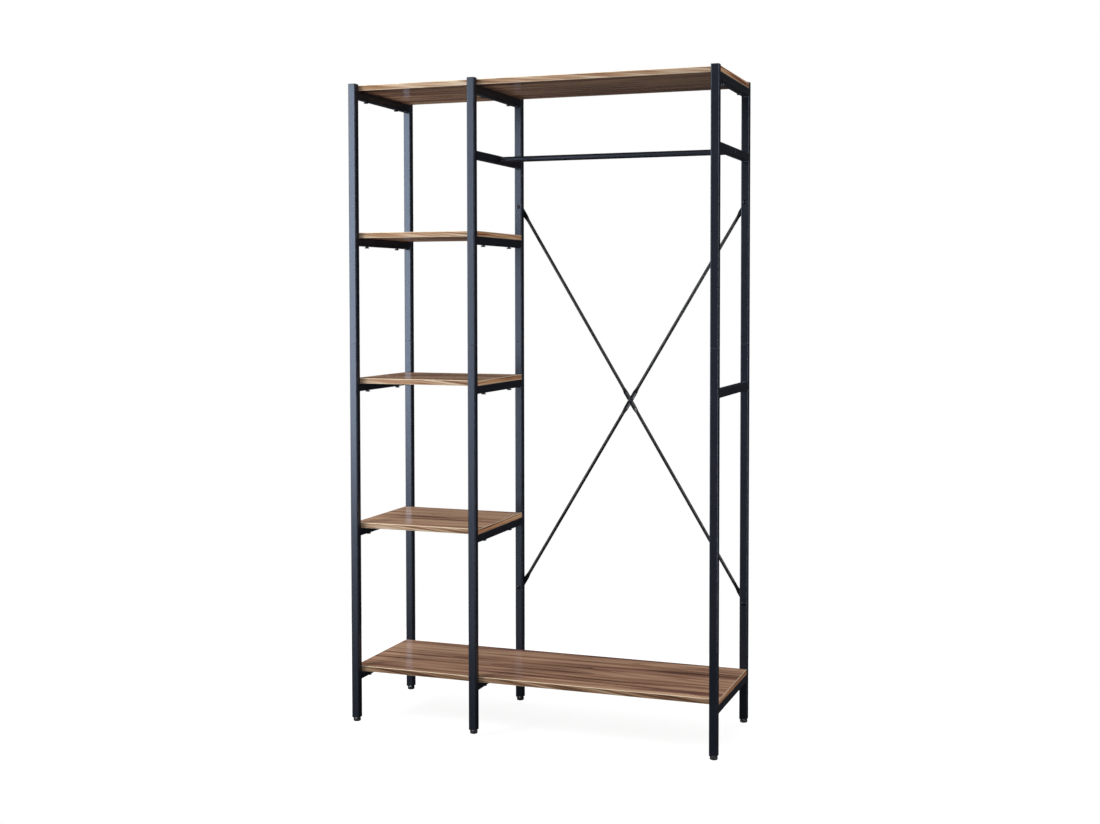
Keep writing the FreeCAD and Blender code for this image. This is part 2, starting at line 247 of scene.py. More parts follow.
@dataclass(frozen=True)
class Grain:
    """Noise that is stretched along the grain of wood.

    It has a length and a width in millimetres, octaves of finer noise, and a pull that says how
    far it is bent by itself.
    """

    length: float
    width: float
    detail: float
    pull: float = 0.0

    def build(self, tree: bpy.types.NodeTree,
              place: bpy.types.NodeSocket) -> bpy.types.NodeSocket:
        """Return the noise, from 0 to 1.

        Args:
            tree: Node tree of the material.
            place: Place along, across and through the grain, in metres.

        Returns:
            The noise.
        """
        along, across = per_mm(self.length), per_mm(self.width)
        stretched = add_node(tree, "ShaderNodeMapping", {
            "Vector": place, "Scale": (along, across, across)})
        return add_node(tree, "ShaderNodeTexNoise", {
            "Vector": stretched.outputs[0], "Scale": 1.0, "Detail": self.detail,
            "Distortion": self.pull}).outputs["Fac"]


@dataclass(frozen=True)
class WalnutBoard:
    """Chipboard faced with walnut-printed melamine paper, pressed.

    It looks satin, with long brown streaks, fine pores and a paler edge band.
    """

    face: Stops = (
        (0.2, "#56382e"), (0.36, "#835f4b"), (0.5, "#a67f65"), (0.64, "#bd957a"),
        (0.84, "#d6af8f"))
    band: Stops = ((0.32, "#503222"), (0.46, "#967153"), (0.58, "#b59478"), (0.72, "#dccab1"))
    # The short ends are banded from a redder roll.
    end_band: Stops = ((0.36, "#683820"), (0.47, "#c2855a"), (0.56, "#eab183"), (0.66, "#ffd6a8"))
    # The rounded arris is painted pale, a painted highlight along the edge.
    heart: str = "#6e4442"
    arris_highlight: str = "#f8e4c6"
    roughness: Pair = (0.15, 0.25)
    band_roughness: float = 0.42
    gloss_level: float = 0.5
    flow: Grain = Grain(1100.0, 60.0, 2.0, 0.4)
    ring: Grain = Grain(900.0, 110.0, 1.0, 0.3)
    streak: Grain = Grain(520.0, 19.0, 5.0, 0.2)
    # The real pores are about 0.4 mm wide, drawn at 2 mm so that they show in the render.
    pore: Grain = Grain(90.0, 2.0, 3.0)
    stain: Grain = Grain(520.0, 34.0, 1.0, 0.3)
    band_streak: Grain = Grain(260.0, 5.0, 3.0, 0.2)
    # Growth rings in one swing of their noise, the share of a ring after which it darkens, and
    # its tones before and after.
    rings: float = 7.0
    ring_turn: float = 0.55
    ring_tones: Pair = (0.6, 0.35)
    # Weights of the patterns in the print's tone, and what brings their sum into the ramp.
    flow_weight: float = 1.3
    streak_weight: float = 1.2
    ring_weight: float = 0.55
    pore_weight: float = 0.5
    tone_base: float = -1.182
    # For each metre towards +X: change of the print's tone, a painted shade that darkens the boards
    # to the right, and rise of the band's streaks.
    painted_shade_slope: float = -0.085
    band_slope: float = 0.1
    # Painted light and shade for each board, whose print and front band get paler where more light
    # falls on them: its height in metres, and how much paler its print and its front band are
    # painted.
    # It reaches this far above and below the board's height.
    painted_board_light: tuple[Triple, ...] = (
        (0.155, 0.0, -0.04), (0.565, 0.1, 0.045), (0.975, -0.02, 0.055), (1.385, 0.0, 0.065),
        (1.797, 0.0, 0.06))
    board_light_reach: float = 0.05
    # Upright parts of the normal between which band and the arris's painted highlight give way to
    # what lies above them, and the part along X from which a surface is an end.
    band_span: Pair = (0.12, 0.25)
    arris_highlight_span: Pair = (0.93, 0.98)
    end_from: float = 0.5
    stain_span: Pair = (0.56, 0.74)
    stain_strength: float = 0.75
    pore_span: Pair = (0.35, 0.65)
    pore_strength: float = 0.35
    pore_depth: float = 0.06

    def build(self) -> bpy.types.Material:
        """Return the material.

        The grain runs along X on the faces and front edges, and along Y on the end edges. Its tone
        is a weighted sum of slow flow, streaks, growth rings and pores, darkened towards +X and
        shifted for each board as painted light and shade.
        Surfaces that stand up take the edge band's colours, and the rounded arris between takes
        the palest, a painted highlight.

        Returns:
            The material.
        """
        material, tree = new_material("walnut_melamine_board")
        texture = add_node(tree, "ShaderNodeTexCoord")
        place = add_node(tree, "ShaderNodeSeparateXYZ", {"Vector": texture.outputs["Object"]})
        normal = add_node(tree, "ShaderNodeSeparateXYZ", {"Vector": texture.outputs["Normal"]})
        x, y, z = place.outputs

        upright, endwise = (add_node(tree, "ShaderNodeMath", {
            0: normal.outputs[axis]}, operation="ABSOLUTE").outputs[0] for axis in ("Z", "X"))
        is_end = add_node(tree, "ShaderNodeMath", {
            0: endwise, 1: self.end_from}, operation="GREATER_THAN").outputs[0]
        is_band, is_arris_highlight = (add_node(tree, "ShaderNodeMapRange", {
            "Value": upright, "From Min": low, "From Max": high,
            "To Min": 1.0, "To Max": 0.0}).outputs[0]
            for low, high in (self.band_span, self.arris_highlight_span))

        sideways = add_node(tree, "ShaderNodeCombineXYZ", {"X": y, "Y": z, "Z": x}).outputs[0]
        slant = add_node(tree, "ShaderNodeMath", {
            0: x, 1: self.band_slope, 2: z}, operation="MULTIPLY_ADD").outputs[0]
        slanted = add_node(tree, "ShaderNodeCombineXYZ", {"X": x, "Y": slant, "Z": y}).outputs[0]
        along, band_along = (add_node(tree, "ShaderNodeMix", {
            "Factor": is_end, VECTOR_A: lengthways, VECTOR_B: sideways},
            data_type="VECTOR").outputs[VECTOR_OUT]
            for lengthways in (texture.outputs["Object"], slanted))
        flow, ring, streak, pore, stain = (grain.build(tree, along) for grain in (
            self.flow, self.ring, self.streak, self.pore, self.stain))

        rings = add_node(tree, "ShaderNodeMath", {
            0: ring, 1: self.rings}, operation="MULTIPLY").outputs[0]
        tooth = add_node(tree, "ShaderNodeMath", {0: rings}, operation="FRACT").outputs[0]
        growth = add_node(tree, "ShaderNodeMapRange", {
            "Value": tooth, "From Min": self.ring_turn, "From Max": 1.0,
            "To Min": self.ring_tones[0], "To Max": self.ring_tones[1]},
            interpolation_type="SMOOTHSTEP").outputs[0]
        # The tone sums the patterns, and darkens towards +X as painted shade.
        tone = self.tone_base
        for pattern, weight in (
                (flow, self.flow_weight), (streak, self.streak_weight),
                (growth, self.ring_weight), (pore, self.pore_weight), (x, self.painted_shade_slope)):
            tone = add_node(tree, "ShaderNodeMath", {
                0: pattern, 1: weight, 2: tone}, operation="MULTIPLY_ADD").outputs[0]

        end_tone = self.band_streak.build(tree, band_along)
        band_tone = end_tone
        # Each board's print and band are shifted by painted light and shade.
        for height, print_light, band_light in self.painted_board_light:
            on_board = add_node(tree, "ShaderNodeMath", {
                0: z, 1: height, 2: self.board_light_reach}, operation="COMPARE").outputs[0]
            tone = add_node(tree, "ShaderNodeMath", {
                0: on_board, 1: print_light, 2: tone}, operation="MULTIPLY_ADD").outputs[0]
            band_tone = add_node(tree, "ShaderNodeMath", {
                0: on_board, 1: band_light, 2: band_tone}, operation="MULTIPLY_ADD").outputs[0]

        face, band, end_band = (
            set_ramp(add_node(tree, "ShaderNodeValToRGB", {"Fac": value}), stops)
            for value, stops in (
                (tone, self.face), (band_tone, self.band), (end_tone, self.end_band)))
        stained = add_node(tree, "ShaderNodeMapRange", {
            "Value": stain, "From Min": self.stain_span[0], "From Max": self.stain_span[1],
            "To Min": 0.0, "To Max": self.stain_strength}).outputs[0]
        banded = add_node(tree, "ShaderNodeMix", {
            "Factor": is_end, COLOUR_A: band, COLOUR_B: end_band},
            data_type="RGBA").outputs[COLOUR_OUT]
        colour = face
        # Heartwood stains, the arris's painted highlight, then the band go over the print.
        for factor, over in (
                (stained, linear(self.heart)), (is_arris_highlight, linear(self.arris_highlight)), (is_band, banded)):
            colour = add_node(tree, "ShaderNodeMix", {
                "Factor": factor, COLOUR_A: colour, COLOUR_B: over},
                data_type="RGBA").outputs[COLOUR_OUT]

        gloss = add_node(tree, "ShaderNodeMapRange", {
            "Value": pore, "From Min": self.pore_span[0], "From Max": self.pore_span[1],
            "To Min": self.roughness[1], "To Max": self.roughness[0]}).outputs[0]
        gloss = add_node(tree, "ShaderNodeMix", {
            "Factor": is_band, FLOAT_A: gloss, FLOAT_B: self.band_roughness}).outputs[FLOAT_OUT]
        bump = add_node(tree, "ShaderNodeBump", {
            "Height": pore, "Strength": self.pore_strength, "Distance": self.pore_depth * MM})
        shade(tree, {
            "Base Color": colour, "Roughness": gloss, "Normal": bump.outputs["Normal"],
            "Specular IOR Level": self.gloss_level})
        return material


@dataclass(frozen=True)
class MouldedPlastic:
    """Black polypropylene, moulded in a spark-eroded tool: even, dull, with a leathery grain."""

    dark: str = "#131416"
    pale: str = "#1c1d20"
    # The real grain is about 0.5 mm, drawn at 1.2 mm so that it shows in close views.
    grain: float = 1.2
    roughness: Pair = (0.48, 0.60)
    colour_span: Pair = (0.2, 0.8)
    gloss_span: Pair = (0.1, 0.8)
    grain_strength: float = 0.3
    grain_depth: float = 0.03

    def build(self) -> bpy.types.Material:
        """Make it near-black, with cells of grain in its colour, bump and roughness.

        Returns:
            The material.
        """
        material, tree = new_material("moulded_polypropylene")
        place = add_node(tree, "ShaderNodeTexCoord").outputs["Object"]
        grain = add_node(tree, "ShaderNodeTexVoronoi", {
            "Vector": place, "Scale": per_mm(self.grain)}).outputs["Distance"]
        ramp = add_node(tree, "ShaderNodeValToRGB", {"Fac": grain})
        colour = set_ramp(ramp, tuple(zip(self.colour_span, (self.dark, self.pale))))
        gloss = add_node(tree, "ShaderNodeMapRange", {
            "Value": grain, "From Min": self.gloss_span[0], "From Max": self.gloss_span[1],
            "To Min": self.roughness[0], "To Max": self.roughness[1]})
        bump = add_node(tree, "ShaderNodeBump", {
            "Height": grain, "Strength": self.grain_strength, "Distance": self.grain_depth * MM})
        shade(tree, {
            "Base Color": colour, "Roughness": gloss.outputs["Result"],
            "Normal": bump.outputs["Normal"]})
        return material


@dataclass(frozen=True)
class TurnedSteel:
    """Steel fastener, stud or sleeve, turned or drawn, then plated: metal with fine tool marks."""

    name: str
    pale: str
    dark: str
    roughness: Pair
    # Tool marks are about 0.15 mm apart, drawn at 0.7 mm so that they show in close views.
    marks: float = 0.7
    marks_detail: float = 3.0
    marks_strength: float = 0.25
    marks_depth: float = 0.02
    cloud: float = 6.3
    cloud_detail: float = 2.0
    span: Pair = (0.3, 0.7)

    def build(self) -> bpy.types.Material:
        """Make its tone waver with the plating, and its gloss with the tool marks.

        Returns:
            The material.
        """
        material, tree = new_material(self.name)
        place = add_node(tree, "ShaderNodeTexCoord").outputs["Object"]
        marks = add_node(tree, "ShaderNodeTexNoise", {
            "Vector": place, "Scale": per_mm(self.marks), "Detail": self.marks_detail})
        cloud = add_node(tree, "ShaderNodeTexNoise", {
            "Vector": place, "Scale": per_mm(self.cloud), "Detail": self.cloud_detail})
        ramp = add_node(tree, "ShaderNodeValToRGB", {"Fac": cloud.outputs["Fac"]})
        colour = set_ramp(ramp, tuple(zip(self.span, (self.dark, self.pale))))
        gloss = add_node(tree, "ShaderNodeMapRange", {
            "Value": marks.outputs["Fac"], "From Min": self.span[0], "From Max": self.span[1],
            "To Min": self.roughness[0], "To Max": self.roughness[1]})
        bump = add_node(tree, "ShaderNodeBump", {
            "Height": marks.outputs["Fac"], "Strength": self.marks_strength,
            "Distance": self.marks_depth * MM})
        shade(tree, {
            "Base Color": colour, "Roughness": gloss.outputs["Result"],
            "Normal": bump.outputs["Normal"], "Metallic": 1.0})
        return material


Finish = PowderCoat | WalnutBoard | MouldedPlastic | TurnedSteel


def box_mm(node: str) -> tuple[np.ndarray, np.ndarray]:
    """Return the lowest and highest corners of a CAD node at rest, in millimetres."""
    low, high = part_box(node)
    return np.array(low) / MM, np.array(high) / MM


def skin(grid: np.ndarray, copies: np.ndarray, facing: Facing = Facing.UP) -> Shape:
    """Close a grid of points into a skin and repeat it.

    Each row of the grid is a closed loop, and the rows follow each other along an axis,
    anticlockwise seen from its far end. Neighbouring rows are joined by four-sided faces, and the
    first and last rows are filled.

    Args:
        grid: Points as rows, columns and three coordinates, the third along the axis.
        copies: Seats, one row of coordinates for each copy.
        facing: Direction of the axis.

    Returns:
        Points of all copies and the faces that join them.
    """
    rows, columns, _ = grid.shape
    index = np.arange(rows * columns).reshape(rows, columns)
    here, there = index[:-1], index[1:]
    quads = np.stack([here, np.roll(here, -1, axis=1), np.roll(there, -1, axis=1), there], axis=-1)
    ends = np.stack([index[0, ::-1], index[-1]])
    steps = np.arange(len(copies))[:, None, None] * rows * columns
    points = copies[:, None, :] + grid.reshape(-1, 3) @ np.array(facing.value, dtype=float)
    sides = (quads.reshape(1, -1, 4) + steps).reshape(-1, 4).tolist()
    caps = (ends[None] + steps).reshape(-1, columns).tolist()
    return points.reshape(-1, 3), sides + caps


def turned(profile: np.ndarray, segments: int = 48) -> np.ndarray:
    """Turn a profile about the axis.

    A point at angle a has radius r * (1 + h * (c / cos(b) - 1)), where b is the angle from the
    nearest flat's middle, c is the cosine of 30 degrees and h says how hexagonal the row is: 0 is
    round, 1 is a hexagon whose corners are at radius r.

    Args:
        profile: Rows of radius, height along the axis and how hexagonal the row is.
        segments: Points round the axis.

    Returns:
        Grid of points with one row for each row of the profile.
    """
    angle = np.arange(segments) * 2.0 * np.pi / segments
    from_flat = np.mod(angle, np.pi / 3.0) - np.pi / 6.0
    hexagon = np.cos(np.pi / 6.0) / np.cos(from_flat)
    radius = profile[:, :1] * (1.0 + profile[:, 2:] * (hexagon[None, :] - 1.0))
    height = np.broadcast_to(profile[:, 1:2], radius.shape)
    return np.stack([radius * np.cos(angle), radius * np.sin(angle), height], axis=-1)


def arc(radius: float, height: float, size: float, start: float, stop: float,
        steps: int) -> np.ndarray:
    """Return profile rows on an arc.

    Args:
        radius: Radius at which the arc's centre is.
        height: Height at which the arc's centre is.
        size: Radius of the arc.
        start: First angle in degrees, 0 outwards and 90 along the axis.
        stop: Last angle in degrees.
        steps: Number of rows.

    Returns:
        Round profile rows.
    """
    angle = np.radians(np.linspace(start, stop, steps))
    return np.stack([
        radius + size * np.cos(angle), height + size * np.sin(angle), np.zeros(steps)], axis=-1)


def new_piece(name: str, shapes: list[Shape], material: bpy.types.Material, slot: Slot, body: str,
              *stands_for: str) -> None:
    """Make a piece of one or more skins at the origin, dress it and let it ride on a body.

    Args:
        name: Name of the piece.
        shapes: Points in millimetres, each with its faces.
        material: Finish of the piece.
        slot: Slot of the record that the finish stands for; not used.
        body: Body that carries the piece.
        stands_for: CAD nodes that the piece takes the place of.
    """
    starts = np.cumsum([0] + [len(points) for points, _ in shapes]).tolist()
    points = np.concatenate([points for points, _ in shapes]) * MM
    faces = [[start + i for i in face] for start, (_, part) in zip(starts, shapes) for face in part]
    mesh = bpy.data.meshes.new(name)
    mesh.from_pydata(points.tolist(), [], faces)
    mesh.polygons.foreach_set("use_smooth", np.ones(len(mesh.polygons), dtype=bool))
    mesh.set_sharp_from_angle(angle=math.radians(SMOOTH_BELOW))
    mesh.materials.append(material)
    piece = bpy.data.objects.new(name, mesh)
    bpy.context.scene.collection.objects.link(piece)
    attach(piece, body)
    if stands_for:
        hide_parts(*stands_for)
    log.info("%s: %d faces on %s", name, len(faces), body)


@dataclass
class Fastener:
    """Screw or bolt with a round head, a hexagon socket and a shank.

    Its axis comes out of its head. A neck lifts the head off its seat, and a flange with a rounded
    rim spreads under the head.
    """

    shank: float
    reach: float
    head: float
    head_height: float
    head_edge: float
    socket: float
    socket_depth: float
    neck: float = 0.0
    neck_height: float = 0.0
    flange: float = 0.0
    flange_height: float = 0.0
    tip: float = 0.6
    under_edge: float = 0.4
    # The flat round the socket, the chamfer at its mouth, and its conical floor: the share of the
    # socket's width at which the cone ends, and its depth.
    land: float = 0.5
    mouth: float = 0.3
    cone: float = 0.4
    cone_depth: float = 0.3

    def grid(self) -> np.ndarray:
        """Turn the profile, from the shank's tip to the socket's floor, with the seat at height 0.

        Returns:
            Grid of points.
        """
        shank, head, edge = self.shank / 2.0, self.head / 2.0, self.head_edge
        top = self.neck_height + self.head_height
        floor = top - self.socket_depth
        corner = self.socket / math.sqrt(3.0)
        rows = [
            (shank - self.tip, -self.reach, 0.0), (shank, self.tip - self.reach, 0.0),
            (shank, 0.0, 0.0)]
        if self.neck_height:
            rows += [(self.neck / 2.0, 0.0, 0.0), (self.neck / 2.0, self.neck_height, 0.0)]
        if self.flange_height:
            rim = self.flange_height / 2.0
            under = arc(self.flange / 2.0 - rim, rim, rim, -90.0, 90.0, steps=8)
        else:
            rim = self.under_edge
            under = arc(head - rim, self.neck_height + rim, rim, -90.0, 0.0, steps=4)
        over = arc(head - edge, top - edge, edge, 0.0, 90.0, steps=6)
        recess = np.array([
            (corner + self.land, top, 0.0), (corner + self.mouth, top, 1.0),
            (corner, top - self.mouth, 1.0), (corner, floor, 1.0),
            (corner * self.cone, floor - self.cone_depth, 0.0)])
        return turned(np.concatenate([np.array(rows), under, over, recess]))


@dataclass
class ShelfScrews:
    """Screws up through the rails into the boards: a neck, then a broad flat head."""

    screw: Fastener = field(default_factory=lambda: Fastener(
        shank=6.0, reach=30.0, head=13.0, head_height=3.0, head_edge=1.2, socket=4.0,
        socket_depth=1.8, neck=8.0, neck_height=2.2))
    # Shares of a rail's length, from its front end, at which its two screws are.
    places: Pair = (0.2, 0.78)
    rails: tuple[str, ...] = (
        "left_bottom_rail", "left_lower_rail", "left_centre_rail", "left_upper_rail",
        "left_top_rail", "middle_bottom_rail", "middle_lower_rail", "middle_centre_rail",
        "middle_upper_rail", "middle_top_rail", "right_bottom_rail", "right_top_rail")

    def seats(self) -> np.ndarray:
        """Place the screws' seats on the undersides of the rails.

        Returns:
            The middle of each seat.
        """
        boxes = np.array([box_mm(rail) for rail in self.rails])
        low, high = boxes[:, 0], boxes[:, 1]
        share = np.array(self.places)[None, :]
        across = np.repeat((low[:, :1] + high[:, :1]) / 2.0, len(self.places), axis=1)
        along = low[:, 1:2] + (high[:, 1:2] - low[:, 1:2]) * share
        under = np.repeat(low[:, 2:3], len(self.places), axis=1)
        return np.stack([across, along, under], axis=-1).reshape(-1, 3)

    def build(self, finish: bpy.types.Material) -> None:
        """Build all the screws as one piece."""
        shape = skin(self.screw.grid(), self.seats(), Facing.DOWN)
        new_piece("shelf_screw_set", [shape], finish, Slot.BLACK_OXIDE_STEEL, "frame",
                  "shelf_screws")


@dataclass
class RodScrews:
    """Screw at each end of the hanging rod, with its head on the rail's outer face."""

    screw: Fastener = field(default_factory=lambda: Fastener(
        shank=6.0, reach=32.0, head=11.0, head_height=2.5, head_edge=1.6, socket=4.0,
        socket_depth=1.6))

    def build(self, finish: bpy.types.Material) -> None:
        """Build both screws as one piece.

        Args:
            finish: Finish of the screws.
        """
        low, high = box_mm("rod_screws")
        middle = (low + high) / 2.0
        left = np.array([[low[0] + self.screw.head_height, middle[1], middle[2]]])
        right = np.array([[high[0] - self.screw.head_height, middle[1], middle[2]]])
        shapes = [skin(self.screw.grid(), left, Facing.LEFT),
                  skin(self.screw.grid(), right, Facing.RIGHT)]
        new_piece("rod_screw_set", shapes, finish, Slot.BLACK_OXIDE_STEEL, "frame", "rod_screws")


@dataclass
class BraceFixings:
    """Button-headed bolts at the braces' ends and crossing, and the chamfered nuts behind them."""

    flange: float = 11.5
    flange_height: float = 1.0
    head: float = 9.0
    head_height: float = 2.8
    head_edge: float = 1.7
    shank: float = 6.0
    socket: float = 3.5
    socket_depth: float = 1.6
    nut_flats: float = 10.0
    nut_height: float = 5.0
    chamfer: float = 0.6
    face_inset: float = 0.05
    dish_width: float = 0.4
    dish_depth: float = 0.35

    def bolt(self, reach: float) -> np.ndarray:
        """Return the surface of one bolt with this reach behind its head."""
        return Fastener(
            shank=self.shank, reach=reach, head=self.head, head_height=self.head_height,
            head_edge=self.head_edge, socket=self.socket, socket_depth=self.socket_depth,
            flange=self.flange, flange_height=self.flange_height).grid()

    def nut(self) -> np.ndarray:
        """Turn one nut: a hexagon whose corners are cut back at both faces, dished at its bore.

        Returns:
            Grid of points.
        """
        corner, bore = self.nut_flats / math.sqrt(3.0), self.shank / 2.0
        face, dish = self.nut_flats / 2.0 - self.face_inset, bore + self.dish_width
        top = self.nut_height
        return turned(np.array([
            (bore, self.dish_depth, 0.0), (dish, 0.0, 0.0), (face, 0.0, 0.0),
            (corner, self.chamfer, 1.0), (corner, top - self.chamfer, 1.0),
            (face, top, 0.0), (dish, top, 0.0), (bore, top - self.dish_depth, 0.0)]))

    def fix(self, finish: bpy.types.Material, seats: np.ndarray, reach: float,
            bolt: tuple[str, str], nut: tuple[str, str]) -> None:
        """Build bolts on their seats, and nuts at their far ends.

        Args:
            finish: Finish of both.
            seats: Middles of the bolts' seats.
            reach: Length of the bolts behind their heads.
            bolt: Name of the bolts' piece and the CAD node that it takes the place of.
            nut: The same for the nuts.
        """
        new_piece(bolt[0], [skin(self.bolt(reach), seats, Facing.FRONT)], finish,
                  Slot.BLACK_OXIDE_STEEL, "frame", bolt[1])
        far = seats + np.array([0.0, reach - self.nut_height, 0.0])
        new_piece(nut[0], [skin(self.nut(), far, Facing.REAR)], finish,
                  Slot.BLACK_OXIDE_STEEL, "frame", nut[1])

    def build(self, finish: bpy.types.Material) -> None:
        """Build the bolts and nuts, at the ends and at the crossing.

        Args:
            finish: Finish of the bolts and nuts.
        """
        low, high = box_mm("brace_end_bolts")
        radius = self.flange / 2.0
        across = (low[0] + radius, high[0] - radius)
        height = (low[2] + radius, high[2] - radius)
        seats = np.array([(x, low[1] + self.head_height, z) for x in across for z in height])
        self.fix(finish, seats, high[1] - low[1] - self.head_height,
                 ("brace_end_bolt_set", "brace_end_bolts"), ("brace_end_nut_set", "brace_end_nuts"))

        low, high = box_mm("brace_centre_bolt")
        middle = (low + high) / 2.0
        seat = np.array([[middle[0], low[1] + self.head_height, middle[2]]])
        self.fix(finish, seat, high[1] - low[1] - self.head_height,
                 ("brace_crossing_bolt", "brace_centre_bolt"),
                 ("brace_crossing_nut", "brace_centre_nut"))


@dataclass
class LevellingStuds:
    """Threaded studs of the levelling feet, each with a hexagonal collar and a spigot."""

    diameter: float = 8.0
    pitch: float = 1.25
    thread_depth: float = 0.45
    # The thread starts this far above the collar, and ends as far below the tip's chamfer.
    run_out: float = 0.1
    tip: float = 0.6
    collar_flats: float = 11.0
    collar_height: float = 1.6
    collar_chamfer: float = 0.3
    spigot: float = 6.0
    spigot_length: float = 3.6
    spigot_chamfer: float = 0.4
    rows_per_turn: int = 8
    segments: int = 40

    def shank(self, start: float, stop: float) -> np.ndarray:
        """Return the threaded rows.

        The radius at height s and angle a is the outer radius less the depth times the distance of
        s / pitch - a / one turn from its nearest crest, doubled, so the ridges climb one pitch in
        each turn.

        Args:
            start: Height of the first row.
            stop: Height of the last row.

        Returns:
            Grid of points.
        """
        rows = int((stop - start) / self.pitch * self.rows_per_turn)
        height = np.linspace(start, stop, rows)[:, None]
        angle = (np.arange(self.segments) * 2.0 * np.pi / self.segments)[None, :]
        phase = height / self.pitch - angle / (2.0 * np.pi)
        from_crest = np.abs(phase - np.round(phase)) * 2.0
        radius = self.diameter / 2.0 - self.thread_depth * from_crest
        return np.stack([radius * np.cos(angle), radius * np.sin(angle),
                         np.broadcast_to(height, radius.shape)], axis=-1)

    def grid(self, length: float) -> np.ndarray:
        """Stack one stud's rows: spigot and collar, thread, tip.

        Args:
            length: Length of the stud over everything.

        Returns:
            Grid of points.
        """
        corner, flat = self.collar_flats / math.sqrt(3.0), self.collar_flats / 2.0
        root, spigot = self.diameter / 2.0 - self.thread_depth, self.spigot / 2.0
        base, top = self.spigot_length, self.spigot_length + self.collar_height
        foot = turned(np.array([
            (spigot - self.spigot_chamfer, 0.0, 0.0), (spigot, self.spigot_chamfer, 0.0),
            (spigot, base, 0.0), (flat, base, 0.0), (corner, base + self.collar_chamfer, 1.0),
            (corner, top - self.collar_chamfer, 1.0), (flat, top, 0.0), (root, top, 0.0)]),
            self.segments)
        tip = turned(np.array([
            (root, length - self.tip, 0.0), (root - self.tip, length, 0.0)]), self.segments)
        thread = self.shank(top + self.run_out, length - (self.tip + self.run_out))
        return np.concatenate([foot, thread, tip])

    def build(self, finish: bpy.types.Material) -> None:
        """Build one stud for each foot, on its own body.

        Args:
            finish: Finish of the studs.
        """
        for node in sorted(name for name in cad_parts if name.endswith("_foot_stud")):
            low, high = box_mm(node)
            seat = np.array([[(low[0] + high[0]) / 2.0, (low[1] + high[1]) / 2.0, low[2]]])
            shape = skin(self.grid(high[2] - low[2]), seat)
            new_piece(node.replace("_foot_stud", "_threaded_stud"), [shape], finish,
                      Slot.BARE_STEEL, node, node)


@dataclass
class WeldBeads:
    """Fillet welds where the rails meet the posts.

    They are short rippled beads under each end of a rail, and above it where its top is bare.
    """

    leg: float = 2.6
    length: float = 14.0
    ripple: float = 1.7
    ripple_depth: float = 0.22
    sink: float = 0.5
    # Radius at the middle of the section, as a share of the leg.
    middle: float = 0.62
    # Square of the share of its size to which a bead shrinks at its ends.
    thinnest: float = 0.0004
    rows: int = 41
    columns: int = 9
    bare_tops: tuple[str, ...] = ("middle_rod_rail", "right_rod_rail", "right_centre_rail")

    def grid(self, down: float, rearwards: float) -> np.ndarray:
        """Return one bead along X, in the corner of a post's face and a rail's face.

        The section goes from one leg to the other, and at angle a its radius is the leg times
        m + (1 - m) * |cos(2 a)|, where m is the middle's share. The leg swells and falls with the
        cosine of the place along the bead, and shrinks at both ends as the square root of one less
        the fourth power of the place, which is 1 there.

        Args:
            down: -1 for a bead under the rail, 1 for one above it.
            rearwards: 1 for a bead at a front post, -1 for one at a rear post.

        Returns:
            Grid of points about the corner.
        """
        along = np.linspace(-0.5, 0.5, self.rows)[:, None]
        taper = np.sqrt(np.clip(1.0 - (2.0 * along) ** 4, self.thinnest, None))
        wave = np.cos(2.0 * np.pi * along * self.length / self.ripple)
        size = self.leg * taper * (1.0 + self.ripple_depth * wave / 2.0)
        angle = np.linspace(0.0, np.pi / 2.0, self.columns)[None, :]
        bulge = self.middle + (1.0 - self.middle) * np.abs(np.cos(2.0 * angle))
        out = np.concatenate([size * bulge * np.cos(angle), -self.sink * taper], axis=1)
        drop = np.concatenate([size * bulge * np.sin(angle), -self.sink * taper], axis=1)
        across = np.broadcast_to(along * self.length, out.shape)
        grid = np.stack([across, rearwards * out, down * drop], axis=-1)
        return grid if down * rearwards > 0.0 else grid[:, ::-1]

    def build(self, finish: bpy.types.Material) -> None:
        """Build all the beads as one piece.

        Args:
            finish: Finish of the beads.
        """
        shapes = []
        every = [name for name in sorted(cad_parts) if name.endswith("_rail")]
        for down in (-1.0, 1.0):
            rails = [name for name in every if down < 0.0 or name in self.bare_tops]
            boxes = np.array([box_mm(rail) for rail in rails])
            low, high = boxes[:, 0], boxes[:, 1]
            for rearwards in (1.0, -1.0):
                corners = np.stack([
                    (low[:, 0] + high[:, 0]) / 2.0,
                    low[:, 1] if rearwards > 0.0 else high[:, 1],
                    low[:, 2] if down < 0.0 else high[:, 2]], axis=-1)
                shapes.append(skin(self.grid(down, rearwards), corners))
        new_piece("rail_weld_beads", shapes, finish, Slot.POWDER_COAT, "frame")


@dataclass
class Finishes:
    """One finish for each slot of the record, and one of their own for the braces."""

    recipes: dict[Slot, Finish] = field(default_factory=lambda: {
        Slot.POWDER_COAT: PowderCoat(),
        Slot.WALNUT_BOARD: WalnutBoard(),
        Slot.BLACK_PLASTIC: MouldedPlastic(),
        Slot.BARE_STEEL: TurnedSteel("zinc_plated_steel", "#b9bcc0", "#8f9398", (0.28, 0.42)),
        Slot.BLACK_OXIDE_STEEL: TurnedSteel(
            "black_zinc_plated_steel", "#36383f", "#17181c", (0.06, 0.12))})
    made: dict[Slot, bpy.types.Material] = field(default_factory=dict)
    # The braces come from another coating line, so their black has hardly any blue in it.
    brace: PowderCoat = PowderCoat(
        "powder_coated_brace", "#151617", "#1b1c1e", "#c5c9cf", seam_half=0.0)
    braces: tuple[str, ...] = ("falling_brace", "rising_brace")

    def build(self) -> None:
        """Make every finish and put it on the CAD nodes of its slot."""
        self.made = {slot: recipe.build() for slot, recipe in self.recipes.items()}
        brace = self.brace.build()
        for name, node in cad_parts.items():
            for place in node.material_slots:
                made = self.made[Slot(place.material.name)]
                place.material = brace if name in self.braces else made
        log.info("%d finishes on %d nodes", len(self.made) + 1, len(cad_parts))


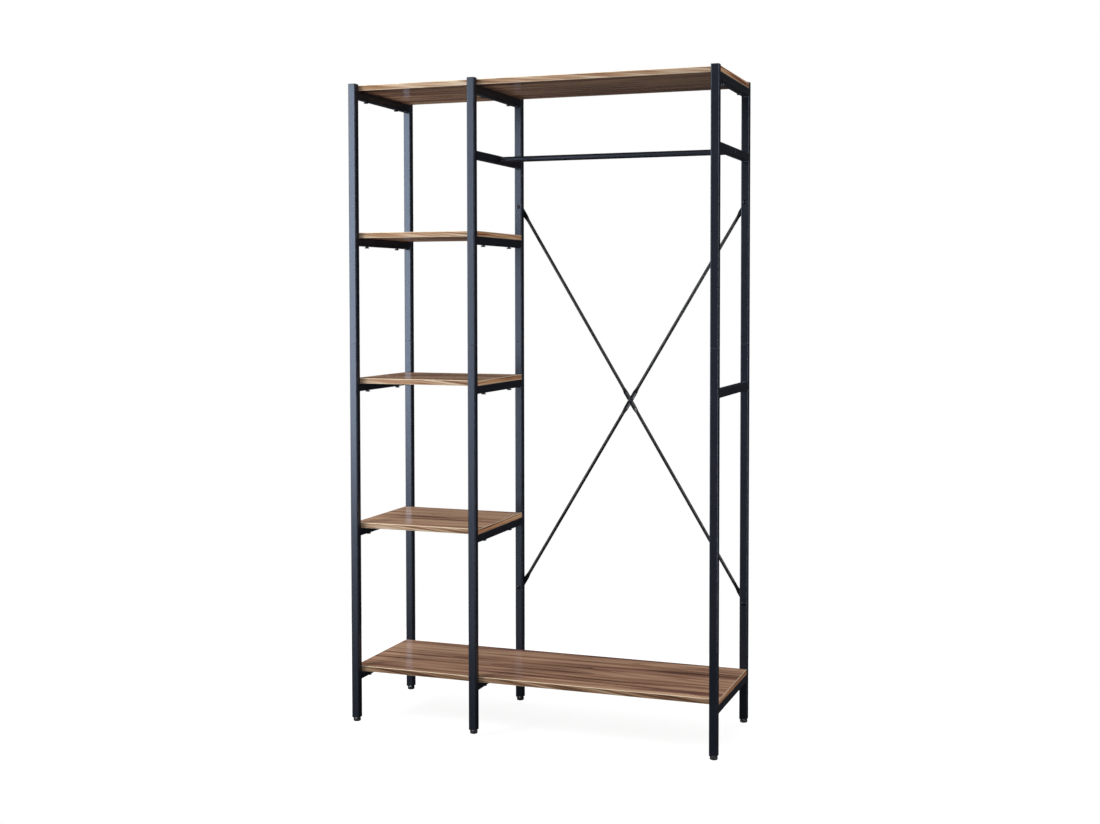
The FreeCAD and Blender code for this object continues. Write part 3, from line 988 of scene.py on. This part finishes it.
@dataclass
class PhotoCamera:
    """Camera at the photograph's viewing angle, fitted to an image of 1100 by 824 pixels.

    Its place is in millimetres, its angles are in radians, and its focal length and the row that
    the lens's axis meets are in pixels.
    """

    place: Triple = (1415.91, -3887.39, 1213.53)
    yaw: float = 0.34959
    pitch: float = 0.039
    roll: float = 0.00134
    focal: float = 1471.16
    centre_row: float = 350.9
    width: int = 1100
    height: int = 824
    sensor_width: float = 36.0
    farthest: float = 60.0

    def build(self) -> None:
        """Make the camera and use it."""
        data = bpy.data.cameras.new("photo_camera")
        data.sensor_width = self.sensor_width
        data.lens = self.focal * self.sensor_width / self.width
        data.shift_y = (self.centre_row - self.height / 2.0) / self.width
        data.clip_end = self.farthest
        camera = bpy.data.objects.new("photo_camera", data)
        bpy.context.scene.collection.objects.link(camera)
        forward = np.array((-math.sin(self.yaw) * math.cos(self.pitch),
                            math.cos(self.yaw) * math.cos(self.pitch), -math.sin(self.pitch)))
        level = np.array((math.cos(self.yaw), math.sin(self.yaw), 0.0))
        above = np.cross(level, forward)
        right = math.cos(self.roll) * level - math.sin(self.roll) * above
        up = math.sin(self.roll) * level + math.cos(self.roll) * above
        matrix = np.eye(4)
        matrix[:3, :3] = np.stack([right, up, -forward], axis=-1)
        matrix[:3, 3] = np.array(self.place) * MM
        camera.matrix_world = Matrix(matrix.tolist())
        bpy.context.scene.camera = camera


@dataclass(frozen=True)
class Lamp:
    """Rectangular lamp: power in watts, width and height, its middle and what it faces, in m."""

    name: str
    watts: float
    size: Pair
    place: Triple
    towards: Triple
    # A lamp that faces this far up or down takes its sides from Y.
    steep: float = 0.95

    def build(self) -> bpy.types.Object:
        """Make the lamp, turned to what it faces.

        Returns:
            The lamp.
        """
        data = bpy.data.lights.new(self.name, "AREA")
        data.shape = "RECTANGLE"
        data.size, data.size_y = self.size
        data.energy = self.watts
        lamp = bpy.data.objects.new(self.name, data)
        bpy.context.scene.collection.objects.link(lamp)
        back = np.array(self.place) - np.array(self.towards)
        back = back / np.linalg.norm(back)
        side = np.cross((0.0, 0.0, 1.0) if abs(back[2]) < self.steep else (0.0, 1.0, 0.0), back)
        side = side / np.linalg.norm(side)
        matrix = np.eye(4)
        matrix[:3, :3] = np.stack([side, np.cross(back, side), back], axis=-1)
        matrix[:3, 3] = self.place
        lamp.matrix_world = Matrix(matrix.tolist())
        return lamp


@dataclass
class Studio:
    """Pale floor, white surroundings, five soft lamps, and dark cards that only gloss sees."""

    # Lowest and highest X, then Y, in metres.
    floor_reach: tuple[float, float, float, float] = (-1.8, 1.8, -1.0, 0.95)
    floor_colour: str = "#8e8e8e"
    floor_glow: float = 0.9
    # The floor lies as low as the feet can be wound out, so that no pose puts a pad through it.
    floor_level: float = -0.0102
    card_colour: str = "#141517"
    card_roughness: float = 0.9
    # Each upright card's X at its left and right edges seen from the object's side of it, its Y,
    # and its lowest and highest Z.
    cards: tuple[tuple[str, float, float, float, float, float], ...] = (
        ("dark_card_behind", -2.6, 3.0, 2.6, -2.5, 4.0),
        ("dark_card_in_front", 9.0, -1.3, -5.0, -2.5, 3.6),
        ("dark_card_at_left", -3.2, -9.0, -5.0, -2.5, 3.6))
    card_lift: float = 0.002
    ambient: float = 0.58
    ambient_low: float = 0.08
    ambient_lean: Triple = (0.45, -0.1, 0.85)
    ambient_span: Pair = (-0.4, 0.5)
    panel: Lamp = Lamp("front_left_panel", 252.0, (1.7, 3.0), (-3.12, -4.0, 1.58), (-0.4, 0.0, 1.1))
    strip: Lamp = Lamp("right_edge_strip", 28.0, (0.2, 2.4), (1.5, -0.75, 1.25), (0.5, -0.1, 1.25))
    key: Lamp = Lamp("front_left_key", 80.0, (1.4, 1.4), (-2.1, -2.6, 2.9), (0.0, 0.0, 1.3))
    fill: Lamp = Lamp("low_left_fill", 7.0, (0.6, 0.6), (-1.2, -0.6, 0.95), (-0.35, 0.0, 1.75))
    box: Lamp = Lamp("soft_box_above", 60.0, (3.2, 2.4), (-0.4, -0.6, 5.5), (0.0, 0.0, 0.0))
    boards: tuple[str, ...] = (
        "bottom_board", "lower_shelf", "centre_shelf", "upper_shelf", "top_board")

    def sheet(self, name: str, corners: list[Triple],
              material: bpy.types.Material) -> bpy.types.Object:
        """Make a flat stage sheet.

        Args:
            name: Name of the sheet.
            corners: Four corners in metres, anticlockwise seen from its front.
            material: What it is made of.

        Returns:
            The sheet.
        """
        mesh = bpy.data.meshes.new(name)
        mesh.from_pydata(corners, [], [[0, 1, 2, 3]])
        mesh.materials.append(material)
        sheet = bpy.data.objects.new(name, mesh)
        bpy.context.scene.collection.objects.link(sheet)
        return sheet

    def lying(self, z: float) -> list[Triple]:
        """Return the corners of a sheet that covers the floor's reach at this height."""
        x0, x1, y0, y1 = self.floor_reach
        return [(x0, y0, z), (x1, y0, z), (x1, y1, z), (x0, y1, z)]

    def seen(self, tree: bpy.types.NodeTree) -> bpy.types.NodeSocket:
        """Tell rays from the camera, from gloss and through glass from the rest.

        Args:
            tree: Node tree that asks.

        Returns:
            1 for those rays, and 0 for the rest.
        """
        path = add_node(tree, "ShaderNodeLightPath")
        gloss = add_node(tree, "ShaderNodeMath", {
            0: path.outputs["Is Camera Ray"], 1: path.outputs["Is Glossy Ray"]},
            operation="MAXIMUM")
        return add_node(tree, "ShaderNodeMath", {
            0: gloss.outputs[0], 1: path.outputs["Is Transmission Ray"]},
            operation="MAXIMUM").outputs[0]

    def floor(self) -> None:
        """Make the floor: pale and dull, with a glow for the rays that see it.

        The glow leaves only the shadow grey. The underside lets light through, so that it doesn't
        hide the object from below.
        """
        material, tree = new_material("studio_floor")
        glow = add_node(tree, "ShaderNodeMath", {
            0: self.seen(tree), 1: self.floor_glow}, operation="MULTIPLY")
        below = add_node(tree, "ShaderNodeNewGeometry").outputs["Backfacing"]
        clear = add_node(tree, "ShaderNodeMath", {0: 1.0, 1: below}, operation="SUBTRACT")
        shade(tree, {
            "Base Color": linear(self.floor_colour), "Roughness": 1.0, "Specular IOR Level": 0.0,
            "Emission Color": WHITE, "Emission Strength": glow.outputs[0],
            "Alpha": clear.outputs[0]})
        self.sheet("floor", self.lying(self.floor_level), material)

    def dark_cards(self) -> None:
        """Make the dark cards: behind the object, behind the camera, and on the floor."""
        material, tree = new_material("dark_card")
        shade(tree, {"Base Color": linear(self.card_colour), "Roughness": self.card_roughness})
        made = [self.sheet(name, [(x0, y, z0), (x1, y, z0), (x1, y, z1), (x0, y, z1)], material)
                for name, x0, x1, y, z0, z1 in self.cards]
        made.append(self.sheet(
            "dark_card_on_floor", self.lying(self.floor_level + self.card_lift), material))
        for card in made:
            card.visible_camera = False
            card.visible_diffuse = False
            card.visible_shadow = False

    def keep_off(self, lamp: bpy.types.Object, names: tuple[str, ...]) -> None:
        """Keep a lamp's light off some nodes, as flags in a studio do.

        Args:
            lamp: The lamp.
            names: The CAD nodes that it doesn't light.
        """
        spared = bpy.data.collections.new(lamp.name + "_spares")
        for name in names:
            spared.objects.link(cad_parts[name])
        for entry in spared.collection_objects:
            entry.light_linking.link_state = "EXCLUDE"
        lamp.light_linking.receiver_collection = spared

    def world(self) -> None:
        """Make the surroundings: white to the rays that see them, and soft light to the rest.

        The soft light is strongest from above and the right.
        """
        world = bpy.data.worlds.new("studio_surroundings")
        bpy.context.scene.world = world
        world.use_nodes = True
        tree = world.node_tree
        tree.nodes.clear()
        direction = add_node(tree, "ShaderNodeTexCoord").outputs["Generated"]
        height = add_node(tree, "ShaderNodeVectorMath", {
            0: direction, 1: self.ambient_lean}, operation="DOT_PRODUCT").outputs["Value"]
        level = add_node(tree, "ShaderNodeMapRange", {
            "Value": height, "From Min": self.ambient_span[0], "From Max": self.ambient_span[1],
            "To Min": self.ambient * self.ambient_low, "To Max": self.ambient}).outputs[0]
        light, white = (
            add_node(tree, "ShaderNodeBackground", {"Color": WHITE, "Strength": strength})
            for strength in (level, 1.0))
        mixed = add_node(tree, "ShaderNodeMixShader", {
            0: self.seen(tree), 1: light.outputs[0], 2: white.outputs[0]})
        add_node(tree, "ShaderNodeOutputWorld", {"Surface": mixed.outputs[0]})

    def build(self) -> None:
        """Build the studio: the panel and the strip light gloss alone, key and fill the rest."""
        bpy.context.scene.view_settings.view_transform = "Standard"
        self.world()
        self.floor()
        self.dark_cards()
        panel, strip, key, fill, _ = (
            lamp.build() for lamp in (self.panel, self.strip, self.key, self.fill, self.box))
        for lamp in (panel, strip):
            lamp.visible_diffuse = False
            self.keep_off(lamp, self.boards)
        strip.visible_camera = False
        for lamp in (key, fill):
            lamp.visible_glossy = False


def main() -> None:
    """Build the camera, the studio, the finishes and the pieces in order."""
    logging.basicConfig(level=logging.INFO, format="%(name)s: %(message)s")
    PhotoCamera().build()
    Studio().build()
    finishes = Finishes()
    finishes.build()
    black, zinc = finishes.made[Slot.BLACK_OXIDE_STEEL], finishes.made[Slot.BARE_STEEL]
    ShelfScrews().build(black)
    RodScrews().build(black)
    BraceFixings().build(black)
    LevellingStuds().build(zinc)
    WeldBeads().build(finishes.made[Slot.POWDER_COAT])


if __name__ == "__main__":
    main()
